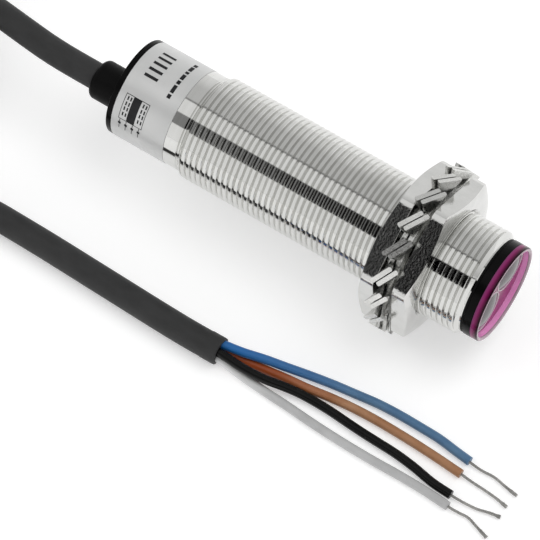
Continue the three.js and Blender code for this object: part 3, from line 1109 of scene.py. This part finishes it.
def add_lens(node, name):
    """A domed lens and the thin bezel round it."""
    centre = middle_of(node)
    steps = 14
    dome = [(RECESS_FLOOR, 0.01), (RECESS_FLOOR, LENS_R), (WINDOW_FACE, LENS_R)]
    for i in range(1, steps):
        share = 1 - i / steps
        dome.append((WINDOW_FACE + LENS_RISE * (1 - share**2), LENS_R * share))
    dome.append((WINDOW_FACE + LENS_RISE, 0.01))
    lens = turned(f"{name}_dome", dome, LENS, centre, 72)
    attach(lens, "sensor")
    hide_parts(node)
    foot = WINDOW_FACE + 0.01
    bezel = [(foot, 3.46), (foot, 3.73), (foot + 0.09, 3.7), (foot + 0.15, 3.6), (foot + 0.09, 3.5)]
    ring = turned(f"{name}_bezel", bezel, BEZEL, centre, 72, closed=True)
    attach(ring, "sensor")


# ---------------------------------------------------------------- lock nuts and washers


def nut_profile(angle, middle):
    """The nut's section as (station, radius), at an angle in degrees from the middle of a flat."""
    from_flat = (angle + 30.0) % 60.0 - 30.0
    outer = min(NUT_FLAT_R / math.cos(math.radians(from_flat)), NUT_CORNER_R)
    drop = max(outer - NUT_CHAMFER_R, 0.0) * NUT_CHAMFER_SLOPE
    return [
        (-middle, NUT_BORE_R + NUT_BORE_CHAMFER),
        (-middle, outer - NUT_EDGE),
        (-middle + NUT_EDGE, outer),
        (middle - drop - NUT_EDGE / 2, outer),
        (middle, NUT_CHAMFER_R - 0.1),
        (middle, NUT_BORE_R + NUT_BORE_CHAMFER),
        (middle - NUT_BORE_CHAMFER, NUT_BORE_R),
        (-middle + NUT_BORE_CHAMFER, NUT_BORE_R),
    ]


def nut_points(start, flat_deg, chamfer_side):
    """Rings of a hexagon nut with turned-down corners, chamfered on its front (1) or its rear (-1) side."""
    count = 6 * NUT_POINTS_PER_FLAT
    middle = NUT_THICKNESS / MM / 2
    angles = [360.0 * j / count for j in range(count)]
    sections = [nut_profile(angle, middle) for angle in angles]
    points = []
    for ring in zip(*sections):
        for angle, (station, radius) in zip(angles, ring):
            turn = math.radians(angle + flat_deg)
            x = start + (middle + chamfer_side * station) * MM
            points.append((x, AXIS_Y + radius * MM * math.cos(turn), AXIS_Z + radius * MM * math.sin(turn)))
    return points, len(points) // count, count


def add_nut(name, body, node, start, flat_deg, chamfer_side):
    vertices, rows, count = nut_points(start, flat_deg, chamfer_side)
    nut = mesh_piece(name, vertices, grid_faces(rows, count, wrap_rows=True), NUT_METAL, 25.0)
    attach(nut, body)
    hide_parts(node)


def tooth_outline(length):
    """A tooth's section as (along, across), a flat bar with its corners cut off."""
    half_l, half_t = length / 2, WASHER_THICKNESS / 2
    cut_l, cut_t = half_l - TOOTH_CORNER, half_t - TOOTH_CORNER
    return [
        (-half_l, -cut_t),
        (-cut_l, -half_t),
        (cut_l, -half_t),
        (half_l, -cut_t),
        (half_l, cut_t),
        (cut_l, half_t),
        (-cut_l, half_t),
        (-half_l, cut_t),
    ]


def washer_tooth(middle_x, turn):
    """Rings of one tooth, a bar across the radius that twists more towards its tip."""
    rings = []
    for k in range(TOOTH_LAYERS + 1):
        share = k / TOOTH_LAYERS
        radius = TOOTH_R[0] + (TOOTH_R[1] - TOOTH_R[0]) * share
        length = TOOTH_LENGTH[0] + (TOOTH_LENGTH[1] - TOOTH_LENGTH[0]) * share
        twist = -math.radians(TOOTH_TWIST_DEG * min(1.0, share * TOOTH_TWIST_GAIN))
        ring = []
        for along, across in tooth_outline(length):
            tangent = along * math.cos(twist) - across * math.sin(twist)
            axial = along * math.sin(twist) + across * math.cos(twist)
            reach = math.sqrt(max(radius**2 - tangent**2 * share, 0.0))
            spot = Matrix.Rotation(turn, 4, "X") @ Vector((0.0, reach, tangent))
            ring.append((middle_x + axial * MM, AXIS_Y + spot.y * MM, AXIS_Z + spot.z * MM))
        rings.append(ring)
    return rings


def add_washer(name, body, node):
    """A flat ring with twisted teeth round it."""
    low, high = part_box(node)
    middle_x = (low[0] + high[0]) / 2
    half = WASHER_THICKNESS / 2
    edge = 0.1
    station = (middle_x - REAR) / MM
    profile = [
        (station - half, WASHER_BORE_R + edge),
        (station - half, WASHER_RING_R),
        (station + half, WASHER_RING_R),
        (station + half, WASHER_BORE_R + edge),
        (station + half - edge, WASHER_BORE_R),
        (station - half + edge, WASHER_BORE_R),
    ]
    vertices = round_points(profile, (AXIS_Y, AXIS_Z), WASHER_SEGMENTS)
    faces = grid_faces(len(profile), WASHER_SEGMENTS, wrap_rows=True)
    for i in range(TEETH):
        rings = washer_tooth(middle_x, math.radians(TOOTH_PHASE_DEG + 360.0 * i / TEETH))
        offset = len(vertices)
        size = len(rings[0])
        for ring in rings:
            vertices += ring
        faces += grid_faces(len(rings), size, offset=offset)
        faces.append(tuple(range(offset, offset + size)))
        faces.append(tuple(range(len(vertices) - size, len(vertices))))
    washer = mesh_piece(name, vertices, faces, ZINC, 40.0)
    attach(washer, body)
    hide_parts(node)


# ---------------------------------------------------------------- cable


def hank_slots():
    """Where each turn lies, (fold radius, height) with the group that its way in belongs to."""
    inner, middle, outer = HANK_RADII
    top, mid, low = HANK_ROWS
    return [
        (inner, top + CABLE_D / MM, 0),
        (inner, top, 0),
        (inner, mid, 0),
        (inner, low, 1),
        (middle, low, 2),
        (middle, mid, 2),
        (middle, top, 3),
        (outer, top, 4),
        (outer, mid, 4),
        (outer, low, 4),
    ]


def hank_place(radius, share):
    """Point on the slot-shaped turn of this fold radius: west fold, south run, east fold, north run."""
    fold = math.pi * HANK_RADII[1]
    run = HANK_EAST - HANK_WEST
    way = share * 2 * (fold + run)
    if way < fold:
        angle = math.radians(90 + 180 * way / fold)
        return HANK_WEST + radius * math.cos(angle), HANK_Y + radius * math.sin(angle)
    way -= fold
    if way < run:
        return HANK_WEST + way, HANK_Y - radius
    way -= run
    if way < fold:
        angle = math.radians(-90 + 180 * way / fold)
        return HANK_EAST + radius * math.cos(angle), HANK_Y + radius * math.sin(angle)
    return HANK_EAST - (way - fold), HANK_Y + radius


def hank_line():
    """The turns, each leaving its place for the next one in its own window so that they never cross."""
    windows = [(0.76, 0.98), (0.58, 0.76), (0.42, 0.58), (0.26, 0.42), (0.1, 0.26)]
    slots = hank_slots()
    first, last = (round(turns * HANK_POINTS_PER_TURN) for turns in HANK_TURNS)
    line = []
    for step in range(first, last + 1):
        turn, share = divmod(step / HANK_POINTS_PER_TURN, 1.0)
        here = slots[int(turn) + 1]
        after = slots[min(int(turn) + 2, len(slots) - 1)]
        start, end = windows[here[2]]
        along = min(max(((share - 0.5) / 0.5 - start) / (end - start), 0.0), 1.0)
        blend = 0.5 - 0.5 * math.cos(math.pi * along)
        radius = here[0] + (after[0] - here[0]) * blend
        line.append((*hank_place(radius, share), here[1] + (after[1] - here[1]) * blend))
    return line


def add_cable():
    """One jacket from the boss, round the hank and on to its cut end, with its two ties."""
    hank = [Vector(p) for p in hank_line()]
    line = smoothed(CABLE_START, CABLE_STEP) + hank + smoothed(CABLE_END, CABLE_STEP)
    jacket = curve_piece("cable_jacket", [line], CABLE_D, JACKET, 8)
    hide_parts("cable_start", "cable_hank", "cable_end")
    end = jacket_end(line)
    ties = [add_tie(node) for node in ("cable_tie_1", "cable_tie_2")]


def rounded_outline(low, high, corner):
    """A rectangle with round corners, as (y, z) points going round once."""
    steps = 6
    points = []
    corners = [(high[0], high[1]), (low[0], high[1]), (low[0], low[1]), (high[0], low[1])]
    for i, (y, z) in enumerate(corners):
        middle_y = y + (-corner if y == high[0] else corner)
        middle_z = z + (-corner if z == high[1] else corner)
        for k in range(steps + 1):
            angle = math.radians(90 * (i + k / steps))
            points.append((middle_y + corner * math.cos(angle), middle_z + corner * math.sin(angle)))
    return points


def add_tie(node):
    """A cable tie: a strap round one run of the hank, and its ratchet head."""
    low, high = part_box(node)
    section = [
        (low[0] + TIE_EDGE, 0.0),
        (high[0] - TIE_EDGE, 0.0),
        (high[0], TIE_EDGE),
        (high[0], TIE_STRAP - TIE_EDGE),
        (high[0] - TIE_EDGE, TIE_STRAP),
        (low[0] + TIE_EDGE, TIE_STRAP),
        (low[0], TIE_STRAP - TIE_EDGE),
        (low[0], TIE_EDGE),
    ]
    vertices = []
    for x, inset in section:
        outline = rounded_outline(
            (low[1] + inset, low[2] + inset), (high[1] - inset, high[2] - inset), TIE_CORNER_R - inset
        )
        vertices += [(x, y, z) for y, z in outline]
    faces = grid_faces(len(section), len(outline), wrap_rows=True)
    middle = (low[1] + high[1]) / 2
    half = 2.0 * MM
    foot = high[2] - TIE_STRAP / 2
    top = high[2] + 2.2 * MM
    head = rounded_outline((middle - half, foot), (middle + half, top), 0.4 * MM)
    start = len(vertices)
    for x in (low[0] - 0.3 * MM, high[0] + 0.3 * MM):
        vertices += [(x, y, z) for y, z in head]
    faces += grid_faces(2, len(head), offset=start)
    faces.append(tuple(range(start, start + len(head))))
    faces.append(tuple(range(start + len(head), len(vertices))))
    tie = mesh_piece(f"{node}_strap", vertices, faces, BLACK_PLASTIC)
    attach(tie, "sensor")
    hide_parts(node)
    return tie


def jacket_end(line):
    """The cut end of the jacket, a short sleeve whose bore the cores come out of."""
    tip = Vector(line[-1])
    direction = (tip - Vector(line[-4])).normalized()
    turn = direction.to_track_quat("X", "Z").to_matrix()
    outer_r = 2.34
    bore_r = 1.7
    profile = [
        (-2.5, outer_r - 0.04),
        (-2.5, outer_r),
        (-0.2, outer_r),
        (0.05, outer_r - 0.04),
        (0.1, outer_r - 0.14),
        (0.1, bore_r + 0.15),
        (-0.1, bore_r + 0.05),
        (-1.0, bore_r),
    ]
    vertices = []
    segments = 48
    for station, radius in profile:
        for j in range(segments):
            angle = 2 * math.pi * j / segments
            spot = tip + turn @ Vector((station, radius * math.cos(angle), radius * math.sin(angle)))
            vertices.append(spot * MM)
    sleeve = mesh_piece("jacket_end", vertices, grid_faces(len(profile), segments), JACKET)
    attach(sleeve, "sensor")
    return sleeve


def strand_point(place, ahead, angle, radius):
    """A point beside the line at place, at this angle round the direction ahead."""
    turn = ahead.to_track_quat("X", "Z").to_matrix()
    spot = place + turn @ Vector((0.0, radius * math.cos(angle), radius * math.sin(angle)))
    spot.z = max(spot.z, STRAND_FLOOR)
    return spot


def twisted_strands(line):
    """Thin wires that wind round a line and open a little at its tip."""
    total = length_of(line) / MM
    lines = []
    for w in range(STRANDS):
        wire = []
        gone = 0.0
        for i, place in enumerate(line):
            ahead = line[min(i + 1, len(line) - 1)] - line[max(i - 1, 0)]
            if i:
                gone += (place - line[i - 1]).length
            past = max(0.0, gone / total - STRAND_OPENS_AT)
            open_up = 1.0 + STRAND_OPENING * past * (1 + w % 3)
            angle = 2 * math.pi * (gone / STRAND_PITCH + w / STRANDS)
            wire.append(strand_point(place, ahead, angle, STRAND_LAY_R * open_up))
        lines.append(wire)
    return lines


def add_cores():
    """Four insulated cores, each with its bare strands."""
    for name, route in CORES.items():
        line = smoothed(route["insulated"], CORE_STEP)
        core = curve_piece(f"wire_{name}", [line], CORE_D, CORE_MATERIALS[name], 6)
        bare = smoothed(route["bare"], STRAND_STEP)
        strands = curve_piece(f"bare_{name}", twisted_strands(bare), STRAND_D, TINNED, 2)
        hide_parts(f"core_{name}")
        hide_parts(f"strands_{name}")


# ---------------------------------------------------------------- inner pieces


def add_inner_materials():
    """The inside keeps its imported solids, each given a material."""
    looks = [
        (RUBBER, ["rear_seal_ring", "front_gasket"]),
        (CHIP, ["trimmer_body", "output_transistor", "voltage_regulator", "controller_chip"]),
        (CHIP, ["supply_capacitor", "receiver_diode"]),
        (AMBER, ["indicator_led"]),
        (LIGHT_PIPE, ["emitter_led"]),
        (BOARD, ["circuit_board"]),
        (CORE_MATERIALS["brown"], ["inner_lead_1"]),
        (CORE_MATERIALS["white"], ["inner_lead_2"]),
        (CORE_MATERIALS["blue"], ["inner_lead_3"]),
        (CORE_MATERIALS["black"], ["inner_lead_4"]),
    ]
    for material, nodes in looks:
        for node in nodes:
            give(node, material)


add_camera()
add_cable()
add_cores()
add_floor()
add_world()
add_lights()
add_barrel()
add_label()
add_label_print()
add_rear_cap()
add_gland()
add_trimmer()
add_indicator()
add_holder()
add_window()
add_lens("emitter_lens", "emitter")
add_lens("receiver_lens", "receiver")
add_nut("lock_nut_rear", "rear_nut", "rear_nut", REAR_NUT_X, REAR_NUT_FLAT_DEG, -1)
add_nut("lock_nut_front", "front_nut", "front_nut", FRONT_NUT_X, FRONT_NUT_FLAT_DEG, 1)
add_washer("tooth_washer_rear", "rear_washer", "rear_washer")
add_washer("tooth_washer_front", "front_washer", "front_washer")
add_inner_materials()

bpy.context.scene.view_settings.view_transform = "Standard"
